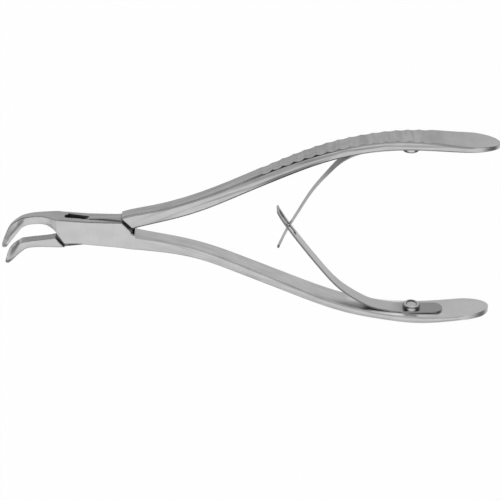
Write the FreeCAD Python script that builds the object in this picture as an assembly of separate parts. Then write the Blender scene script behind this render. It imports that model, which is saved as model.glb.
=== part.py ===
import FreeCAD, Part
import math
import os

# Bone rongeur lying on its side. X runs from the pivot to the handle ends, Y towards the
# upper handle, Z along the pivot pin. Z = 0 is the lower flat of the box joint.
# All sizes are millimetres and the jaws stand open at rest.

# How far the cutting tools reach past the work
CUT_REACH = 60.0

# Box joint
BOX_T = 5.8
MID = BOX_T / 2
WAIST_T = 2.0
SIDE_GAP = 0.06
FLARE_START = 4.5
FLARE_END = 10.0
FLARE_T = 3.8
BOX_EDGE = 0.25
BOX_ROOT_X = 13.6
BOX_OUTLINE = [
    (-11.2, 4.78), (-1.6, 3.97), (9.6, 3.64), (12.8, -0.15), (BOX_ROOT_X, -1.75), (BOX_ROOT_X, -6.5),
    (8.5, -5.7), (2.2, -5.0), (-2.9, -4.45), (-6.0, -4.25), (-9.3, -4.15), (-11.4, -0.5)]
SLOT_OUTLINE = [
    (-7.75, 9.0), (-7.75, 2.9), (-13.5, -1.0), (-13.5, -9.0), (-3.0, -9.0), (-0.6, -5.3),
    (3.2, -4.2), (12.6, -2.6), (13.1, -1.9), (13.1, 9.0)]
SLOT_END = (-7.75, 1.5)
WAIST_OUTLINE = [
    (-12.0, -2.9), (-9.0, -1.4), (-5.0, 1.4), (-0.8, 4.15), (9.6, 4.35), (12.8, 1.6),
    (12.8, -0.1), (3.5, -3.3), (-2.0, -5.3), (-9.6, -6.15), (-12.0, -6.2)]
FLARE_OUTLINE = [
    (-9.0, -1.4), (-5.0, 1.4), (-0.8, 4.15), (9.5, 4.3), (12.6, 0.3), (12.6, -0.2), (3.5, -3.3),
    (-2.4, -4.5), (-9.2, -3.9)]
SHOULDER_TOP = (9.34, 4.9)
SHOULDER_LOW = (12.65, 1.15)
RELIEF = (13.0, -0.45)
RELIEF_R = 0.55
JAW_STEP_TOP = (-12.05, -2.75)
JAW_STEP_LOW = (-9.4, -6.05)

# Pivot pin
PIN_R = 1.6
PIN_FIT = 0.01
RUN_FIT = 0.05

# Sections are listed from the joint outwards as
# (x, y of outer face, thickness, outer width, widest width, inner width).
RIDGE_AT = 0.45
EDGE_CUT = 0.5
BEVEL_FLAT = 0.6
BEVEL_SHARE = 0.2
LOWER_HANDLE = [
    (12.2, -6.24, 4.84, 5.7, 5.8, 5.7), (18.0, -7.14, 4.54, 5.1, 5.3, 5.2),
    (25.0, -8.24, 4.21, 4.8, 5.0, 5.0), (34.3, -10.49, 3.66, 5.2, 5.5, 5.5),
    (46.0, -15.28, 3.38, 5.9, 6.2, 6.2), (58.0, -20.67, 3.12, 6.5, 6.8, 6.8),
    (70.0, -25.97, 2.77, 7.3, 7.6, 7.6), (82.0, -30.38, 2.69, 7.7, 8.0, 8.0),
    (94.0, -32.77, 2.43, 8.6, 8.9, 8.9), (104.0, -33.84, 2.64, 9.4, 9.7, 9.7),
    (114.0, -33.0, 1.95, 10.3, 10.6, 10.6), (122.0, -32.0, 1.7, 10.3, 10.5, 10.5),
    (129.6, -31.2, 1.45, 9.7, 9.9, 9.9)]
UPPER_HANDLE = [
    (9.0, 4.95, 5.03, 4.3, 4.7, 4.4), (13.4, 6.25, 4.88, 4.3, 4.7, 4.4),
    (18.5, 7.3, 4.53, 4.4, 4.8, 4.5), (25.0, 8.95, 4.4, 4.5, 4.9, 4.6),
    (34.2, 12.15, 4.33, 4.65, 5.05, 4.75), (46.7, 17.7, 3.99, 4.8, 5.2, 4.9),
    (59.0, 23.55, 3.95, 5.2, 5.6, 5.3), (71.2, 28.4, 3.43, 6.3, 6.7, 6.4),
    (83.2, 31.57, 3.25, 6.9, 7.3, 7.0), (95.4, 33.09, 3.25, 7.8, 8.2, 7.9),
    (105.0, 32.79, 2.81, 9.2, 9.5, 9.2), (114.0, 31.8, 2.0, 10.4, 10.6, 10.4),
    (126.6, 30.65, 1.25, 9.8, 10.0, 9.8)]
PADDLE_ROUND = 12.0
PADDLE_HALF = 5.4
UPPER_END = 126.2
LOWER_END = 128.3

# Flutes across the outer face of the upper handle
FLUTES = 15
FLUTE_FIRST = (55.0, 21.5)
FLUTE_PITCH = 3.6
FLUTE_R = 4.2
FLUTE_DEPTH = 0.36

# Jaws: neck and tip sections as (outer x, outer y, inner x, inner y, outer width, widest, inner)
UPPER_NECK = [
    (-10.2, 4.7, -10.2, -0.6, 5.8, 5.8, 5.8), (-11.7, 4.85, -11.6, 0.5, 5.5, 5.6, 5.6),
    (-13.6, 5.15, -13.4, 1.95, 4.2, 4.5, 4.4), (-16.7, 5.3, -16.6, 2.6, 3.0, 3.3, 3.2),
    (-19.6, 5.0, -19.0, 2.4, 2.7, 3.1, 3.0), (-22.9, 3.95, -21.8, 1.4, 2.2, 3.1, 2.9)]
UPPER_TIP = [
    (-22.9, 3.95, -21.8, 1.4, 2.2, 3.1, 2.9), (-25.0, 2.55, -23.05, 0.3, 1.7, 3.2, 3.0),
    (-26.8, 0.45, -24.45, -1.5, 1.4, 3.2, 3.0), (-28.5, -3.0, -26.2, -3.75, 1.2, 3.1, 2.9),
    (-29.5, -5.4, -27.5, -5.55, 1.0, 2.7, 2.5), (-29.5, -6.8, -28.2, -6.55, 0.7, 1.5, 1.4)]
LOWER_NECK = [
    (-9.0, -6.05, -9.0, -1.4, 3.7, 3.7, 3.7), (-12.0, -6.2, -12.05, -2.75, 3.3, 3.3, 3.2),
    (-16.6, -6.2, -16.8, -3.5, 2.9, 3.1, 2.9), (-19.6, -6.35, -19.6, -3.85, 2.8, 3.1, 3.0),
    (-22.2, -7.0, -23.1, -4.45, 3.0, 3.2, 3.2)]
LOWER_TIP = [
    (-22.2, -7.0, -23.1, -4.45, 3.0, 3.2, 3.2), (-23.7, -8.25, -25.2, -5.8, 3.0, 3.5, 3.4),
    (-25.4, -9.9, -27.3, -7.9, 2.9, 3.5, 3.4), (-27.0, -11.6, -28.6, -10.6, 2.6, 3.1, 3.0),
    (-28.1, -12.75, -28.9, -12.35, 1.2, 1.7, 1.6)]
UPPER_JAW_RIDGE = 0.66
LOWER_JAW_RIDGE = 0.5
JAW_EDGE_CUT = 0.25

# Cups scooped from the biting faces, as (x, y at the heel end, x, y at the tip end)
UPPER_CUP = (-24.4, -1.3, -26.9, -4.9)
LOWER_CUP = (-24.7, -5.4, -28.2, -10.0)
CUP_R = 1.15
CUP_DEPTH = 0.8

# Leaf springs from the screw outwards as (x, y of the face, width), seated flat on the handles.
# Root, tab and bed are how far each leaf's bend, tab and bed in the handle run from its screw.
LEAF_T = 0.55
UPPER_SCREW_X = 98.9
LOWER_SCREW_X = 103.0
UPPER_SEAT = 30.1
LOWER_SEAT = -31.05
UPPER_ROOT = 3.3
LOWER_ROOT = 3.0
UPPER_TAB = 5.1
LOWER_TAB = 7.6
UPPER_BED = 3.4
LOWER_BED = 6.6
UPPER_LEAF = [
    (UPPER_SCREW_X - UPPER_ROOT, UPPER_SEAT - LEAF_T, 5.2), (92.3, 29.3, 5.0), (88.5, 28.85, 4.6),
    (83.5, 27.65, 4.2), (79.0, 25.35, 3.6), (74.4, 20.5, 2.4), (69.7, 14.3, 1.6), (64.9, 5.6, 1.35),
    (61.65, -0.6, 1.3), (59.0, -7.1, 1.3)]
LOWER_LEAF = [
    (LOWER_SCREW_X - LOWER_ROOT, LOWER_SEAT, 5.2), (95.3, -30.4, 5.2), (90.0, -29.2, 5.0), (84.9, -26.5, 4.9),
    (79.0, -22.0, 4.8), (73.0, -15.0, 4.7), (66.6, -6.2, 4.7), (61.3, 1.6, 4.7),
    (58.9, 5.6, 4.6), (58.4, 6.6, 4.3), (58.2, 7.1, 3.5)]
UPPER_TAB_END = UPPER_SCREW_X + UPPER_TAB
LOWER_TAB_END = LOWER_SCREW_X + LOWER_TAB
EYELET_HALF = 1.05
EYELET_LOW = (63.9, -1.4)
EYELET_HIGH = (59.4, 5.6)
HOOK_EYE_R = 0.28
HOOK_EYE = (59.8, -5.2)
HOOK_EYE_AXIS = (-0.92, 0.39)

# Screws through the flat tabs of the leaves, and the seats cut for the tabs
HEAD_R = 2.85
HEAD_H = 1.5
HEAD_ROUND = 0.9
DISH_R = 1.8
DISH_DEPTH = 0.3
SHANK_R = 1.0
SHANK_L = 2.0
SCREW_FIT = 0.03
SEAT_FIT = 0.12
UPPER_SEAT_START = UPPER_SCREW_X - UPPER_BED
LOWER_SEAT_START = LOWER_SCREW_X - LOWER_BED

os.makedirs("parts", exist_ok=True)


def vec(x, y, z=MID):
    return FreeCAD.Vector(x, y, z)


def prism(points, z0, z1):
    wire = Part.makePolygon([vec(x, y, z0) for x, y in points + points[:1]])
    return Part.Face(wire).extrude(vec(0, 0, z1 - z0))


def section(outer, inner, w_outer, w_wide, w_inner, ridge_at, outer_cut, inner_cut):
    """Six sided section between an outer and an inner point, with bevels on its long corners."""
    a = vec(*outer)
    b = vec(*inner)
    up = vec(0, 0, 0.5)
    wide = a + (b - a) * ridge_at
    most = (b - a).Length * BEVEL_SHARE
    corners = [
        (a + up * w_outer, outer_cut), (wide + up * w_wide, 0), (b + up * w_inner, inner_cut),
        (b - up * w_inner, inner_cut), (wide - up * w_wide, 0), (a - up * w_outer, outer_cut)]
    points = []
    for i in range(len(corners)):
        here, cut = corners[i]
        if not cut:
            points.append(here)
            continue
        for other, other_cut in (corners[i - 1], corners[(i + 1) % len(corners)]):
            reach = min(cut, most) * (BEVEL_FLAT if other_cut else 1)
            points.append(here + (other - here).normalize() * reach)
    return Part.makePolygon(points + points[:1])


def outline_curve(stations):
    curve = Part.BSplineCurve()
    curve.interpolate([vec(s[0], s[1]) for s in stations])
    return curve


def handle(stations, side, end_x):
    """Handle bar: lofted sections square to its outer face, with an elliptical paddle end."""
    curve = outline_curve(stations)
    wires = []
    for x, y, thick, w_outer, w_wide, w_inner in stations:
        along = curve.tangent(curve.parameter(vec(x, y)))[0]
        inward = vec(along.y, -along.x, 0) * side
        tip = vec(x, y) + inward * thick
        wires.append(section(
            (x, y), (tip.x, tip.y), w_outer, w_wide, w_inner, RIDGE_AT, EDGE_CUT, EDGE_CUT))
    bar = Part.makeLoft(wires, True, False)
    start = end_x - PADDLE_ROUND
    top = vec(start, -CUT_REACH, MID + PADDLE_HALF)
    ellipse = Part.Ellipse(vec(end_x, -CUT_REACH), top, vec(start, -CUT_REACH))
    end = Part.Face(Part.Wire(ellipse.toShape())).extrude(vec(0, 2 * CUT_REACH, 0))
    body = Part.makeBox(start, 2 * CUT_REACH, 2 * CUT_REACH, vec(0, -CUT_REACH, MID - CUT_REACH))
    return bar.common(body.fuse(end))


def jaw(neck, tip, ridge_at):
    halves = []
    for stations in (neck, tip):
        wires = [
            section(s[0:2], s[2:4], s[4], s[5], s[6], ridge_at, JAW_EDGE_CUT, 0) for s in stations]
        halves.append(Part.makeLoft(wires, True, False))
    return halves[0].fuse(halves[1])


def cup(x0, y0, x1, y1, side):
    """Round ended hollow whose axis stands a little clear of the biting face."""
    a = vec(x0, y0)
    b = vec(x1, y1)
    along = b - a
    clear = vec(along.y, -along.x, 0).normalize() * side * (CUP_R - CUP_DEPTH)
    a += clear
    b += clear
    bar = Part.makeCylinder(CUP_R, along.Length, a, along)
    return bar.fuse([Part.makeSphere(CUP_R, a), Part.makeSphere(CUP_R, b)])


def flutes(stations):
    """Shallow round grooves spaced evenly along the outer face of a handle."""
    curve = outline_curve(stations)
    start = curve.length(curve.FirstParameter, curve.parameter(vec(*FLUTE_FIRST)))
    cuts = []
    for i in range(FLUTES):
        u = curve.parameterAtDistance(start + i * FLUTE_PITCH, curve.FirstParameter)
        spot = curve.value(u)
        along = curve.tangent(u)[0]
        outward = vec(-along.y, along.x, 0)
        axis = spot + outward * (FLUTE_R - FLUTE_DEPTH)
        cuts.append(Part.makeCylinder(FLUTE_R, 4 * BOX_T, vec(axis.x, axis.y, -BOX_T)))
    return cuts


def leaf(stations, tab_end, spare):
    """Bent strip of even thickness with a flat round ended tab, cut to its tapering width.

    spare widens it on both sides to make the tool that cuts its bed in the handle.
    """
    root_x, root_y, root_width = stations[0]
    points = [vec(x, y) for x, y, width in stations]
    ends = {"InitialTangent": vec(-1, 0, 0), "FinalTangent": points[-1] - points[-2]}
    face = Part.BSplineCurve()
    face.interpolate(Points=points, **ends)
    backs = []
    for point in points:
        along = face.tangent(face.parameter(point))[0]
        backs.append(point + vec(along.y, -along.x, 0) * LEAF_T)
    back = Part.BSplineCurve()
    back.interpolate(Points=backs, **ends)
    far = vec(tab_end + root_width, root_y)
    tab = Part.makePolygon([points[0], far, far + vec(0, LEAF_T, 0), backs[0]])
    tip = Part.makeLine(points[-1], backs[-1])
    profile = Part.Face(Part.Wire(tab.Edges + [back.toShape(), tip, face.toShape()]))
    profile.translate(vec(0, 0, -root_width))
    strip = profile.extrude(vec(0, 0, 2 * root_width))

    half = root_width / 2 + spare
    nose = Part.Arc(
        vec(tab_end, -CUT_REACH, MID + half), vec(tab_end + half, -CUT_REACH),
        vec(tab_end, -CUT_REACH, MID - half)).toShape()
    sides = []
    tips = []
    for side in (1, -1):
        spots = [vec(x, -CUT_REACH, MID + side * (width / 2 + spare)) for x, y, width in stations]
        edge = Part.BSplineCurve()
        edge.interpolate(spots)
        past = spots[-1] - vec(LEAF_T, 0, 0)
        run = [Part.makeLine(vec(tab_end, -CUT_REACH, spots[0].z), spots[0]), edge.toShape()]
        sides.append(run + [Part.makeLine(spots[-1], past)])
        tips.append(past)
    outline = [nose] + sides[0] + [Part.makeLine(tips[0], tips[1])] + sides[1][::-1]
    plan = Part.Face(Part.Wire(outline))
    return strip.common(plan.extrude(vec(0, 2 * CUT_REACH, 0)))


def eyelet():
    """Long hole in the lower leaf that the tongue of the upper leaf passes through."""
    low = vec(*EYELET_LOW)
    high = vec(*EYELET_HIGH)
    along = (high - low).normalize()
    across = vec(along.y, -along.x, 0) * (2 * LEAF_T)
    ring = [low - across, high - across, high + across, low + across]
    middle = Part.Face(Part.makePolygon(ring + ring[:1])).extrude(vec(0, 0, 2 * EYELET_HALF))
    middle.translate(FreeCAD.Vector(0, 0, -EYELET_HALF))
    ends = [Part.makeCylinder(EYELET_HALF, across.Length * 2, p - across, across) for p in (low, high)]
    return middle.fuse(ends)


def seat(start_x, tab_end, tab_width, y, inward):
    """Shallow flat pocket in a handle that the tab of a leaf spring lies in."""
    half = tab_width / 2 + SEAT_FIT
    depth = 3 * LEAF_T
    low_y = min(y, y + inward * depth)
    pocket = Part.makeBox(tab_end - start_x, depth, 2 * half, vec(start_x, low_y, MID - half))
    return pocket.fuse(Part.makeCylinder(half, depth, vec(tab_end, low_y), vec(0, 1, 0)))


def screw(x, y, inward):
    """Low round head with a shallow dish, and a shank that runs back into the handle."""
    base = y + inward * LEAF_T

    def at(r, h):
        return vec(x + r, base + inward * h)

    rim = HEAD_H - HEAD_ROUND
    floor = HEAD_H - DISH_DEPTH
    tail = -LEAF_T - SHANK_L
    turn = HEAD_R - HEAD_ROUND * (1 - math.cos(math.pi / 4))
    rise = rim + HEAD_ROUND * math.sin(math.pi / 4)
    shoulder = Part.Arc(at(HEAD_R - HEAD_ROUND, HEAD_H), at(turn, rise), at(HEAD_R, rim)).toShape()
    top = Part.makePolygon([
        at(0, tail), at(0, floor), at(DISH_R - DISH_DEPTH, floor), at(DISH_R, HEAD_H),
        at(HEAD_R - HEAD_ROUND, HEAD_H)])
    side = Part.makePolygon([at(HEAD_R, rim), at(HEAD_R, 0), at(SHANK_R, 0), at(SHANK_R, tail), at(0, tail)])
    wire = Part.Wire(top.Edges + [shoulder] + side.Edges)
    return Part.Face(wire).revolve(at(0, 0), vec(0, 1, 0), 360)


def screw_hole(x, y):
    length = 2 * (SHANK_L + SCREW_FIT)
    return Part.makeCylinder(SHANK_R + SCREW_FIT, length, vec(x, y - length / 2), vec(0, 1, 0))


def flare(extra):
    """Plate that thickens away from the pivot, so that it turns freely in its own mould."""
    h0 = WAIST_T / 2 + extra
    h1 = FLARE_T / 2 + extra
    pts = [
        (0, -h0), (FLARE_START, -h0), (FLARE_END, -h1), (CUT_REACH, -h1),
        (CUT_REACH, h1), (FLARE_END, h1), (FLARE_START, h0), (0, h0)]
    wire = Part.makePolygon([vec(r, 0, MID + h) for r, h in pts + pts[:1]])
    return Part.Face(wire).revolve(vec(0, 0, 0), vec(0, 0, 1), 360)


def beside(top, low, side):
    """Block that fills one side of the slanted line from top to low, for cutting a shoulder."""
    far = CUT_REACH
    edge = [(top[0], far), top, low, (low[0], -far)]
    return prism([(top[0] + side * far, far)] + edge + [(low[0] + side * far, -far)], -far, far)


def box_block():
    """Block of the box joint, its edges broken except where the jaw and the handle grow out of it."""
    block = prism(BOX_OUTLINE, 0, BOX_T)
    left = min(x for x, y in BOX_OUTLINE)
    edges = [
        e for e in block.Edges
        if e.BoundBox.ZLength < BOX_EDGE and e.BoundBox.XMax < BOX_ROOT_X
        and not (e.BoundBox.XMin < left + BOX_EDGE and e.BoundBox.YMin > BOX_OUTLINE[-1][1] - BOX_EDGE)]
    return block.makeChamfer(BOX_EDGE, edges)


def save(name, shape):
    if len(shape.Solids) != 1:
        raise ValueError(name + " has " + str(len(shape.Solids)) + " solids")
    shape.Solids[0].exportStep("parts/" + name + ".step")
    box = shape.BoundBox
    print(name, shape.isValid(), round(shape.Volume, 2), [round(v, 2) for v in (
        box.XMin, box.XMax, box.YMin, box.YMax, box.ZMin, box.ZMax)])


def spring_set(stations, tab_end, seat_start, screw_x, seat_y, inward):
    """Leaf, screw and the tool that sinks the bed of the leaf and the screw hole into the handle."""
    drill = screw_hole(screw_x, seat_y)
    strip = leaf(stations, tab_end, 0).cut(drill)
    bed = leaf(stations, tab_end, SEAT_FIT)
    pocket = seat(seat_start, tab_end, stations[0][2], seat_y, inward)
    return strip, screw(screw_x, seat_y, inward), [bed, pocket, drill]


upper_leaf, upper_screw, upper_sink = spring_set(
    UPPER_LEAF, UPPER_TAB_END, UPPER_SEAT_START, UPPER_SCREW_X, UPPER_SEAT, -1)
lower_leaf, lower_screw, lower_sink = spring_set(
    LOWER_LEAF, LOWER_TAB_END, LOWER_SEAT_START, LOWER_SCREW_X, LOWER_SEAT, 1)
hook_axis = vec(*HOOK_EYE_AXIS, 0)
hook_eye = Part.makeCylinder(HOOK_EYE_R, 4 * LEAF_T, vec(*HOOK_EYE) - hook_axis * 2 * LEAF_T, hook_axis)

slot_t = WAIST_T / 2 + SIDE_GAP
slot = prism(SLOT_OUTLINE, MID - slot_t, MID + slot_t)
slot_end = Part.makeCylinder(slot_t, CUT_REACH, vec(*SLOT_END), vec(0, 1, 0))
slot = slot.fuse([slot_end, flare(SIDE_GAP).common(prism(SLOT_OUTLINE, 0, BOX_T))])
pin_hole = Part.makeCylinder(PIN_R + PIN_FIT, 2 * BOX_T, vec(0, 0, -MID))
upper_jaw = jaw(UPPER_NECK, UPPER_TIP, UPPER_JAW_RIDGE)
box_half = box_block().fuse([handle(LOWER_HANDLE, -1, LOWER_END), upper_jaw])
relief = Part.makeCylinder(RELIEF_R, 2 * BOX_T, vec(*RELIEF, -MID))
box_half = box_half.cut([slot, pin_hole, relief] + lower_sink).removeSplitter()
box_half = box_half.cut(cup(*UPPER_CUP, -1))

upper_handle = handle(UPPER_HANDLE, 1, UPPER_END).cut(
    flutes(UPPER_HANDLE) + [beside(SHOULDER_TOP, SHOULDER_LOW, -1)])
lower_jaw = jaw(LOWER_NECK, LOWER_TIP, LOWER_JAW_RIDGE).cut(beside(JAW_STEP_TOP, JAW_STEP_LOW, 1))
waist = prism(WAIST_OUTLINE, MID - WAIST_T / 2, MID + WAIST_T / 2)
waist = waist.fuse(flare(0).common(prism(FLARE_OUTLINE, 0, BOX_T)))
turn_hole = Part.makeCylinder(PIN_R + RUN_FIT, 2 * BOX_T, vec(0, 0, -MID))
inner_half = waist.fuse([upper_handle, lower_jaw]).cut([turn_hole, cup(*LOWER_CUP, 1)] + upper_sink)

save("box_half", box_half)
save("inner_half", inner_half.removeSplitter())
save("pivot_pin", Part.makeCylinder(PIN_R, BOX_T, vec(0, 0, 0)))
save("upper_leaf_spring", upper_leaf.cut(hook_eye).removeSplitter())
save("lower_leaf_spring", lower_leaf.cut(eyelet()).removeSplitter())
save("upper_spring_screw", upper_screw)
save("lower_spring_screw", lower_screw)
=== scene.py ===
import bpy
import math
from mathutils import Matrix, Vector


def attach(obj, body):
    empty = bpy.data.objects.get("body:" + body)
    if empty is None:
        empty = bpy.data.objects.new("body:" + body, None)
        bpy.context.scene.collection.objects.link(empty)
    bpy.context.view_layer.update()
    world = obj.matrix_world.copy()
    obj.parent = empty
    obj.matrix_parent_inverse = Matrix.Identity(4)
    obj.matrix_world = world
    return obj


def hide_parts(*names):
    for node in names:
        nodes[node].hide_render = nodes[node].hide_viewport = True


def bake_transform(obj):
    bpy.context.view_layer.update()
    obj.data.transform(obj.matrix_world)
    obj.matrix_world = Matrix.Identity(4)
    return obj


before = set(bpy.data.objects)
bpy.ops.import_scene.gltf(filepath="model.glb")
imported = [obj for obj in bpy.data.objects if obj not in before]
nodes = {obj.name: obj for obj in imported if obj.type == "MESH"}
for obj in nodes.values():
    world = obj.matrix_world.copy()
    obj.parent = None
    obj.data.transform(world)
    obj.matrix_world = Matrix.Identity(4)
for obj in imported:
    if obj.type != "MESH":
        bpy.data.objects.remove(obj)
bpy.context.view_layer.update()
scene = bpy.context.scene

MM = 0.001

# Photograph's view: the lens axis leans from the pivot pin towards the upper handle
LEAN = math.radians(32.5)
AIM = Vector((0.04979, -0.01004, 0.0))
DISTANCE = 0.420
LENS = 93.44
SENSOR = 36.0
CLIP_START = 0.01

# White studio: floor and world, and the middle of the instrument, at which the lamps aim
MIDDLE = (0.05, 0.0, 0.0)
FLOOR_Z = -0.0026
FLOOR_SIZE = 6.0
FLOOR_GREY = (0.80, 0.80, 0.80, 1.0)
FLOOR_SEEN_WHITE = 0.985
WORLD_COLOUR = (0.9, 0.9, 0.92, 1.0)
WORLD_STRENGTH = 0.16

# Lip over the front of the joint's slot: its middle, size and turn about Z
LIP_PLACE = (-0.0064, 0.004135, 0.00436)
LIP_SIZE = (0.0062, 0.0005, 0.0009)
LIP_TURN = math.radians(-4.82)

# Linear colours of the steels, and the greys of the painted shade on their edges, sides, corners
# and deep gaps
SATIN = (0.54, 0.54, 0.545)
LEAF = (0.48, 0.48, 0.485)
TONGUE = (0.46, 0.46, 0.465)
EDGE_SHADE = (0.18, 0.18, 0.185)
SIDE_AND_CORNER_SHADE = (0.13, 0.13, 0.135)
GAP_SHADE = (0.03, 0.03, 0.032)

# Grinding lines: how dense they are, and how stretched across and along themselves
GRAIN = 1.6
GRAIN_ACROSS = 2.6
GRAIN_ALONG = 0.16

# Half sizes, in millimetres, of the joint's box and of the pivot pin, both about the pivot
PIVOT = (0.0, 0.0, 0.0)
BOX_REACH = (13.0, 40.0, 40.0)
PIN_REACH = (2.3, 2.3, 100.0)

# How far round a point corners, and the deep gaps of the joint, are looked for
CORNER_REACH = 1.5 * MM
GAP_REACH = 6.0 * MM

# Over which x, in metres, the wider streaks of a handle start and fade towards its paddle
STREAKS_START = (0.010, 0.018)
STREAKS_FADE = (0.068, 0.088)

# In the steel the floor's glow is greyer than to the lens, which paints greyer reflections. Before
# the jaws its share of white grows with the distance from JAWS_X, and beyond the upper handle,
# which starts over a short y, it grows along x.
JAWS_X = -0.0175
JAWS_WHITEN = (0.0070, 0.0105)
JAWS_WHITE = (0.25, 0.80)
BEYOND_STARTS = (0.002, 0.006)
BEYOND_WHITENS = (-0.020, 0.125)
BEYOND_WHITE = (0.41, 0.64)


def node(tree, kind, **values):
    """New shader node with its properties set."""
    made = tree.nodes.new(kind)
    for name, value in values.items():
        setattr(made, name, value)
    return made


def feed(tree, socket, value):
    """Give a socket a number, a direction, a colour or another node's output."""
    if isinstance(value, (int, float, Vector)):
        socket.default_value = value
    elif isinstance(value, tuple):
        socket.default_value = (*value, 1.0)
    else:
        tree.links.new(value, socket)


def maths(tree, operation, a, b=0.0):
    made = node(tree, "ShaderNodeMath", operation=operation)
    feed(tree, made.inputs[0], a)
    feed(tree, made.inputs[1], b)
    return made.outputs[0]


def times(tree, a, b):
    return maths(tree, "MULTIPLY", a, b)


def dot(tree, a, b):
    made = node(tree, "ShaderNodeVectorMath", operation="DOT_PRODUCT")
    feed(tree, made.inputs[0], a)
    feed(tree, made.inputs[1], b)
    return made.outputs["Value"]


def axes(tree, vector):
    made = node(tree, "ShaderNodeSeparateXYZ")
    feed(tree, made.inputs[0], vector)
    return made.outputs


def mix(tree, kind, factor, a, b):
    """Mix of two numbers (FLOAT), directions (VECTOR) or colours (RGBA)."""
    first, second, out = {"FLOAT": (2, 3, 0), "VECTOR": (4, 5, 1), "RGBA": (6, 7, 2)}[kind]
    made = node(tree, "ShaderNodeMix", data_type=kind)
    for index, value in ((0, factor), (first, a), (second, b)):
        feed(tree, made.inputs[index], value)
    return made.outputs[out]


def spread(tree, value, low, high, out_low=0.0, out_high=1.0):
    """Value moved from one range to another and held at the ends."""
    made = node(tree, "ShaderNodeMapRange")
    ends = (("From Min", low), ("From Max", high), ("To Min", out_low), ("To Max", out_high))
    for name, number in ends:
        made.inputs[name].default_value = number
    feed(tree, made.inputs["Value"], value)
    return made.outputs["Result"]


def placed(tree, coords, size, turn, place=PIVOT):
    """Coordinates about a place, turned about Z and in units of size, in millimetres."""
    made = node(tree, "ShaderNodeMapping", vector_type="TEXTURE")
    made.inputs["Location"].default_value = [v * MM for v in place]
    made.inputs["Rotation"].default_value = (0.0, 0.0, math.radians(turn))
    made.inputs["Scale"].default_value = [v * MM for v in size]
    feed(tree, made.inputs["Vector"], coords)
    return made.outputs["Vector"]


def noise(tree, coords, scale, stretch, detail, rough=0.5, turn=0.0):
    """Noise of the part's own frame, scale times stretch waves a millimetre on turned axes."""
    made = node(tree, "ShaderNodeTexNoise")
    made.inputs["Scale"].default_value = 1.0
    made.inputs["Detail"].default_value = detail
    made.inputs["Roughness"].default_value = rough
    lengths = [1.0 / (scale * s) for s in stretch]
    feed(tree, made.inputs["Vector"], placed(tree, coords, lengths, turn))
    return made.outputs["Fac"]


def spot(tree, coords, place, turn, size):
    """Distance from a place in half sizes of a turned ellipsoid, so 1 is its surface."""
    made = node(tree, "ShaderNodeVectorMath", operation="LENGTH")
    feed(tree, made.inputs[0], placed(tree, coords, size, turn, place))
    return made.outputs["Value"]


def patch(tree, coords, normal, place, turn, size, side=None):
    """1 inside a soft ellipsoid, on faces that look to side where one is given."""
    inside = spread(tree, spot(tree, coords, place, turn, size), 1.0, 0.45)
    if side is None:
        return inside
    direction, start, full = side
    facing = dot(tree, normal, Vector(direction).normalized())
    return times(tree, inside, spread(tree, facing, start, full))


def hollows(tree, reach, dark_below, light_above):
    """1 in corners and gaps, 0 on open faces."""
    made = node(tree, "ShaderNodeAmbientOcclusion", samples=8)
    made.inputs["Distance"].default_value = reach
    return spread(tree, made.outputs["AO"], dark_below, light_above, 1.0, 0.0)


def tint(colour, factor):
    """Colour made lighter or darker."""
    return tuple(c * factor for c in colour)


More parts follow.
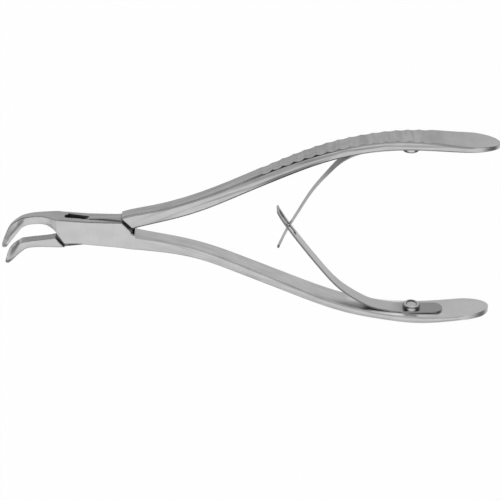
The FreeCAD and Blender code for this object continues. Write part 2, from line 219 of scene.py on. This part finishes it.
def steel(name, colour, edge_share, rough, round_edge, grain_axis=0, grain_turn=0.0,
          edge_until=None, streaked=0.0, dark_sides=None, bars=None, shades=()):
    """Satin steel: fine grinding lines, cloudy polish, and painted shade along edges and in
    corners.

    edge_share is how strongly shade is painted along edges and round_edge how far they are rounded
    off.
    grain_axis is the axis of the grinding lines, which grain_turn turns about Z.
    edge_until is an x in millimetres past which the edges are neither rounded nor shaded.
    streaked is the share of wider streaks along a handle.
    dark_sides is an axis, the two shares of the normal along it between which painted shade
    darkens the tone, and how much it does. bars is a region with uneven bars of painted shade and
    shades are soft patches of painted shade and painted highlight, both as listed under the sides
    below.
    """
    material = bpy.data.materials.new(name)
    material.use_nodes = True
    tree = material.node_tree
    shader = tree.nodes["Principled BSDF"]
    shader.inputs["Metallic"].default_value = 1.0
    texture = node(tree, "ShaderNodeTexCoord")
    coords, normal = texture.outputs["Object"], texture.outputs["Normal"]
    x = axes(tree, coords)["X"]

    # Grinding lines run with each piece, but across the box, and a slow cloud varies the polish
    stretch = [GRAIN_ACROSS] * 3
    stretch[grain_axis] = GRAIN_ALONG
    on_box = spread(tree, spot(tree, coords, PIVOT, 0.0, BOX_REACH), 1.0, 0.9)
    lines = mix(tree, "FLOAT", on_box,
                noise(tree, coords, GRAIN, stretch, 4.0, 0.62, grain_turn),
                noise(tree, coords, GRAIN, (GRAIN_ACROSS, GRAIN_ALONG, GRAIN_ACROSS), 4.0, 0.62))
    streaks = noise(tree, coords, 1.0, (0.04, 0.9, 0.9), 3.0, 0.6, grain_turn)
    fine = noise(tree, coords, 7.0, (1.0, 1.0, 1.0), 3.0)
    cloud = noise(tree, coords, 0.16, (1.0, 1.3, 1.3), 3.0)

    # The pivot pin is ground flush, so nothing marks its rim
    rim = spread(tree, spot(tree, coords, PIVOT, 0.0, PIN_REACH), 0.92, 1.0)
    if edge_until is not None:
        end = edge_until * MM
        rim = times(tree, rim, spread(tree, x, end - 0.002, end, 1.0, 0.0))

    # An edge, along which shade is painted, is where the rounded normal leaves the face's own. The
    # cloud makes that painted shade uneven
    bevel = node(tree, "ShaderNodeBevel", samples=6)
    bevel.inputs["Radius"].default_value = round_edge
    rounded, flat = bevel.outputs["Normal"], node(tree, "ShaderNodeNewGeometry").outputs["Normal"]
    edge = times(tree, spread(tree, dot(tree, rounded, flat), 0.998, 0.94), rim)
    edge = times(tree, edge, spread(tree, cloud, 0.35, 0.7, 0.6, 1.0))

    # The colour: grinding lines, cloud and streaks, then painted shade and painted highlights
    base = mix(tree, "RGBA", spread(tree, lines, 0.3, 0.7), tint(colour, 0.93), tint(colour, 1.05))
    base = mix(tree, "RGBA", spread(tree, cloud, 0.3, 0.7, 0.0, 0.35), base, tint(colour, 0.88))
    on_handle = times(tree, spread(tree, x, *STREAKS_START),
                      spread(tree, x, *STREAKS_FADE, streaked, streaked * 0.15))
    streak = times(tree, spread(tree, streaks, 0.46, 0.62), on_handle)
    base = mix(tree, "RGBA", streak, base, tint(colour, 0.62))
    # Painted shade along edges
    base = mix(tree, "RGBA", times(tree, edge, edge_share), base, EDGE_SHADE)
    # Painted shade on faces that turn to the given axis
    if dark_sides:
        axis, light_at, dark_at, share = dark_sides
        side = maths(tree, "ABSOLUTE", axes(tree, normal)[axis])
        base = mix(tree, "RGBA", spread(tree, side, light_at, dark_at, 0.0, share), base, SIDE_AND_CORNER_SHADE)
    # Painted shade in corners, where ambient occlusion finds them
    corner = times(tree, hollows(tree, CORNER_REACH, 0.25, 0.85), times(tree, rim, 0.45))
    base = mix(tree, "RGBA", corner, base, SIDE_AND_CORNER_SHADE)
    # Uneven bars of painted shade
    if bars:
        uneven = noise(tree, coords, 1.0, (0.42, 0.05, 0.05), 2.0, 0.6)
        bar = times(tree, patch(tree, coords, normal, *bars),
                    spread(tree, uneven, 0.45, 0.62, 0.0, 0.55))
        base = mix(tree, "RGBA", bar, base, tint(colour, 0.62))
    # Soft patches of painted shade and painted highlight, each with its own grey
    for share, grey, *where in shades:
        amount = times(tree, patch(tree, coords, normal, *where), share)
        base = mix(tree, "RGBA", amount, base, (grey, grey, grey))
    # Painted shade in the deep gaps of the joint's box
    deep = times(tree, hollows(tree, GAP_REACH, 0.12, 0.42), times(tree, on_box, 0.9))
    feed(tree, shader.inputs["Base Color"], mix(tree, "RGBA", deep, base, GAP_SHADE))

    # The lines and the cloud vary the gloss, and the lines also stand out a little
    roughness = maths(tree, "ADD", spread(tree, lines, 0.25, 0.75, rough - 0.05, rough + 0.05),
                      spread(tree, cloud, 0.3, 0.7, -0.04, 0.05))
    feed(tree, shader.inputs["Roughness"], roughness)

    bump = node(tree, "ShaderNodeBump")
    bump.inputs["Strength"].default_value = 0.35
    bump.inputs["Distance"].default_value = 0.02 * MM
    feed(tree, bump.inputs["Height"], maths(tree, "ADD", lines, times(tree, fine, 0.5)))
    feed(tree, bump.inputs["Normal"], mix(tree, "VECTOR", rim, flat, rounded))
    feed(tree, shader.inputs["Normal"], bump.outputs["Normal"])
    return material


def white_ground(name, colour, seen_white):
    """Pale matt ground that the lens sees as near white, still with soft shadows.

    In the steel its glow is greyer before the jaws and beyond the upper handle, which paints
    greyer reflections there.
    """
    material = bpy.data.materials.new(name)
    material.use_nodes = True
    tree = material.node_tree
    tree.nodes.clear()
    path = node(tree, "ShaderNodeLightPath").outputs
    seen = maths(tree, "MAXIMUM", path["Is Camera Ray"], path["Is Transmission Ray"])
    seen = times(tree, seen, seen_white)

    # The glow that glossy rays see changes with the place, which paints the reflections in the
    # steel
    place = axes(tree, node(tree, "ShaderNodeNewGeometry").outputs["Position"])
    from_jaws = maths(tree, "ABSOLUTE", maths(tree, "SUBTRACT", place["X"], JAWS_X))
    near = spread(tree, from_jaws, *JAWS_WHITEN, *JAWS_WHITE)
    beyond = spread(tree, place["X"], *BEYOND_WHITENS, *BEYOND_WHITE)
    share = mix(tree, "FLOAT", spread(tree, place["Y"], *BEYOND_STARTS), near, beyond)
    mirrored = times(tree, path["Is Glossy Ray"], share)

    matt = node(tree, "ShaderNodeBsdfDiffuse")
    matt.inputs["Color"].default_value = colour
    glow = node(tree, "ShaderNodeEmission")
    glow.inputs["Color"].default_value = (1.0, 1.0, 1.0, 1.0)
    glow.inputs["Strength"].default_value = 1.0
    surface = node(tree, "ShaderNodeMixShader")
    feed(tree, surface.inputs[0], maths(tree, "MAXIMUM", seen, mirrored))
    feed(tree, surface.inputs[1], matt.outputs[0])
    feed(tree, surface.inputs[2], glow.outputs[0])
    out = node(tree, "ShaderNodeOutputMaterial")
    feed(tree, out.inputs["Surface"], surface.outputs[0])
    return material


# Sides: a direction, and the cosines to it at which a patch starts and is full
FRONT_BEVEL = ((-0.20, 0.47, 0.86), 0.93, 0.98)
BACK_BEVEL = ((0.20, -0.47, 0.86), 0.93, 0.98)
FACE = ((0.0, 0.0, 1.0), 0.90, 0.97)
NEAR_EDGE = ((0.0, 0.0, 1.0), 0.4, 0.8)
FLUTED_SIDE = ((-0.1, 1.0, 0.0), 0.75, 0.90)
UPPER_SIDE = ((0.0, 1.0, 0.0), 0.75, 0.90)

# Patches of painted shade and painted highlight: a share, a grey, a place, a turn, half sizes and
# a side. Without a side they lie on every face there. Places and sizes are in millimetres, turns
# are in
# degrees about Z. These three paint shade into the clearances that both halves show at the joint:
JOINT_GAP_SHADE = [
    (0.9, 0.03, (11.1, 2.5, 3.0), -48.6, (3.9, 0.62, 20.0)),    # shoulder of the upper handle
    (0.95, 0.02, (12.95, 0.1, 3.0), 0.0, (1.2, 1.2, 20.0)),     # round relief at its end
    (0.9, 0.04, (-10.6, -3.9, 3.0), -55.0, (3.2, 0.9, 20.0)),   # step of the lower jaw
]
forged = steel(
    "satin_forged_steel", SATIN, 0.5, 0.33, 0.22 * MM, grain_turn=-19.0, edge_until=14.0,
    streaked=0.35, shades=JOINT_GAP_SHADE + [
        # Painted shade in the gap under the box and at the start and rim of the upper cup, and a
        # painted highlight on the tip of the upper jaw
        (0.85, 0.05, (-6.4, -4.35, 5.8), 2.0, (4.2, 0.6, 1.5)),     # gap under the box
        (0.65, 0.14, (-22.6, 3.0, 4.5), 48.0, (2.2, 0.9, 3.0)),     # start of the upper cup
        (0.60, 0.14, (-24.4, 0.6, 4.2), 50.0, (5.0, 0.55, 3.0)),    # rim of the upper cup
        (0.80, 0.90, (-28.3, -4.9, 3.6), 0.0, (2.0, 2.0, 2.0)),     # light tip of the upper jaw
        # Painted highlights on the bed of the lower leaf at its root and on a strip before its tab
        (0.85, 0.95, (91.5, -29.5, 3.0), -12.0, (11.0, 4.0, 20.0), UPPER_SIDE),
        (0.80, 0.90, (100.5, -31.2, 6.2), 0.0, (14.0, 2.0, 1.6), UPPER_SIDE),
    ])
fluted = steel(
    "satin_fluted_steel", SATIN, 0.75, 0.33, 0.25 * MM, grain_turn=23.0, streaked=0.5,
    # Uneven bars of painted shade on the fluted side
    bars=((82.0, 30.0, 3.0), 8.0, (42.0, 16.0, 20.0), FLUTED_SIDE), shades=JOINT_GAP_SHADE + [
        # Painted shade in the gap under the box and along the rim of the lower cup
        (0.9, 0.04, (-6.2, -5.5, 3.6), 4.0, (4.6, 1.1, 2.0)),       # gap under the box
        (0.8, 0.10, (-25.3, -6.4, 4.3), 58.0, (4.6, 0.95, 1.8)),    # rim of the lower cup
        # Painted shade on the bevels of the upper handle: by the flutes, along its back and at its
        # paddle
        (0.92, 0.03, (64.0, 24.5, 3.0), 23.0, (18.0, 5.0, 20.0), FRONT_BEVEL),
        (0.95, 0.03, (64.0, 20.0, 3.0), 23.0, (26.0, 6.0, 20.0), BACK_BEVEL),
        (0.8, 0.06, (121.0, 27.0, 3.0), 0.0, (18.0, 9.0, 20.0), BACK_BEVEL),
        # Streaks of painted shade along its face, one after the other towards the paddle
        (0.55, 0.18, (59.4, 22.5, 3.0), 23.6, (22.0, 1.3, 20.0), FACE),
        (0.45, 0.15, (41.2, 12.9, 3.0), 21.6, (12.5, 0.5, 20.0), FACE),
        (0.75, 0.10, (62.0, 21.5, 3.0), 24.4, (17.0, 0.8, 20.0), FACE),
        (0.60, 0.15, (71.5, 27.1, 3.0), 18.7, (10.5, 0.5, 20.0), FACE),
        (0.60, 0.15, (84.9, 30.5, 3.0), 9.3, (9.5, 0.5, 20.0), FACE),
        (0.45, 0.15, (100.3, 31.6, 3.0), 0.8, (13.0, 0.5, 20.0), FACE),
    ])
sprung = steel(
    "spring_leaf_steel", LEAF, 0.3, 0.30, 0.10 * MM,
    # Painted shade on faces turned to Z, a painted highlight on the tab's near edge, and painted
    # shade at the end of the slot and on the tab's face
    dark_sides=("Z", 0.4, 0.8, 0.8), shades=[
        (0.90, 0.55, (104.5, -30.8, 3.0), 0.0, (20.0, 5.0, 20.0), NEAR_EDGE),   # tab's near edge
        (0.85, 0.06, (60.2, 4.6, 3.0), -57.0, (3.4, 1.4, 2.4)),                 # end of the slot
        (0.60, 0.18, (107.5, -30.6, 3.0), 0.0, (12.0, 3.0, 20.0), UPPER_SIDE),  # tab's face
    ])
tongue = steel(
    "spring_tongue_steel", TONGUE, 0.3, 0.30, 0.10 * MM,
    # Painted shade on faces turned to Z, at the tongue's tip and at its root under the handle
    dark_sides=("Z", 0.4, 0.8, 0.25), shades=[
        (0.90, 0.05, (59.2, -6.6, 2.9), 0.0, (1.0, 1.0, 2.0)),      # mark at the tongue's tip
        (0.65, 0.10, (77.5, 25.0, 3.0), 50.0, (9.0, 2.4, 20.0)),    # root under the handle
    ])
turned = steel(
    "turned_screw_steel", LEAF, 0.5, 0.24, 0.12 * MM, grain_axis=1,
    # Painted shade on flanks turned away from the axis and on the far rim of the lower head, and
    # painted highlights on the near flanks of both heads
    dark_sides=("Y", 0.97, 0.72, 0.9), shades=[
        (0.80, 0.07, (103.0, -29.4, 0.1), 0.0, (3.6, 2.0, 1.5)),    # far rim of the lower head
        (0.75, 0.70, (103.0, -30.0, 5.6), 0.0, (1.8, 2.5, 1.6)),    # near flank of the lower head
        (0.75, 0.70, (98.9, 29.0, 5.6), 0.0, (1.6, 2.5, 1.6)),      # near flank of the upper head
    ])


def dress(thing, material):
    thing.data.materials.clear()
    thing.data.materials.append(material)


for name, material in (("box_half", forged), ("pivot_pin", forged), ("inner_half", fluted),
                       ("upper_spring_screw", turned), ("lower_spring_screw", turned)):
    dress(nodes[name], material)


def bent_leaf(source, name, material):
    """Copy of a leaf spring, in its own material, that stands in for the hidden original."""
    piece = bpy.data.objects.new(name, nodes[source].data.copy())
    scene.collection.objects.link(piece)
    dress(piece, material)
    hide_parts(source)
    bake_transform(piece)


bent_leaf("upper_leaf_spring", "upper_leaf", tongue)
bent_leaf("lower_leaf_spring", "lower_leaf", sprung)


def slot_lip():
    """Lip of the box half over the front of its slot, flush with the joint's upper edge face."""
    bpy.ops.mesh.primitive_cube_add(size=1.0, location=LIP_PLACE)
    lip = bpy.context.object
    lip.name = "slot_lip"
    lip.scale = LIP_SIZE
    lip.rotation_euler = (0.0, 0.0, LIP_TURN)
    dress(lip, forged)
    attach(lip, "box_side")


slot_lip()

bpy.ops.mesh.primitive_plane_add(size=FLOOR_SIZE, location=(MIDDLE[0], MIDDLE[1], FLOOR_Z))
floor = bpy.context.object
floor.name = "floor"
dress(floor, white_ground("pale_floor", FLOOR_GREY, FLOOR_SEEN_WHITE))

world = bpy.data.worlds.new("studio")
world.use_nodes = True
backdrop = world.node_tree.nodes["Background"]
backdrop.inputs["Color"].default_value = WORLD_COLOUR
backdrop.inputs["Strength"].default_value = WORLD_STRENGTH
scene.world = world


def softbox(name, place, aim, size, power):
    """Soft area lamp that looks at aim."""
    data = bpy.data.lights.new(name, "AREA")
    data.shape = "RECTANGLE"
    data.size, data.size_y = size
    data.energy = power
    lamp = bpy.data.objects.new(name, data)
    lamp.location = place
    lamp.rotation_euler = (Vector(aim) - Vector(place)).to_track_quat("-Z", "Y").to_euler()
    scene.collection.objects.link(lamp)


softbox("overhead", (0.05, -0.36, 0.70), MIDDLE, (1.5, 0.85), 3.9)
softbox("crest", (0.05, 0.33, 0.74), MIDDLE, (1.5, 0.3), 1.0)
softbox("jaw_side", (-0.60, -0.06, 0.50), PIVOT, (0.5, 0.5), 0.42)
softbox("front_fill", (0.05, 0.62, 0.62), MIDDLE, (0.8, 0.3), 0.4)

back = Vector((0.0, math.sin(LEAN), math.cos(LEAN)))
up = Vector((0.0, math.cos(LEAN), -math.sin(LEAN)))
right = Vector((1.0, 0.0, 0.0))
lens = bpy.data.cameras.new("camera")
lens.lens = LENS
lens.sensor_width = SENSOR
lens.clip_start = CLIP_START
camera = bpy.data.objects.new("camera", lens)
turn = Matrix((right, up, back)).transposed().to_4x4()
camera.matrix_world = Matrix.Translation(AIM + back * DISTANCE) @ turn
scene.collection.objects.link(camera)
scene.camera = camera

scene.view_settings.view_transform = "Standard"
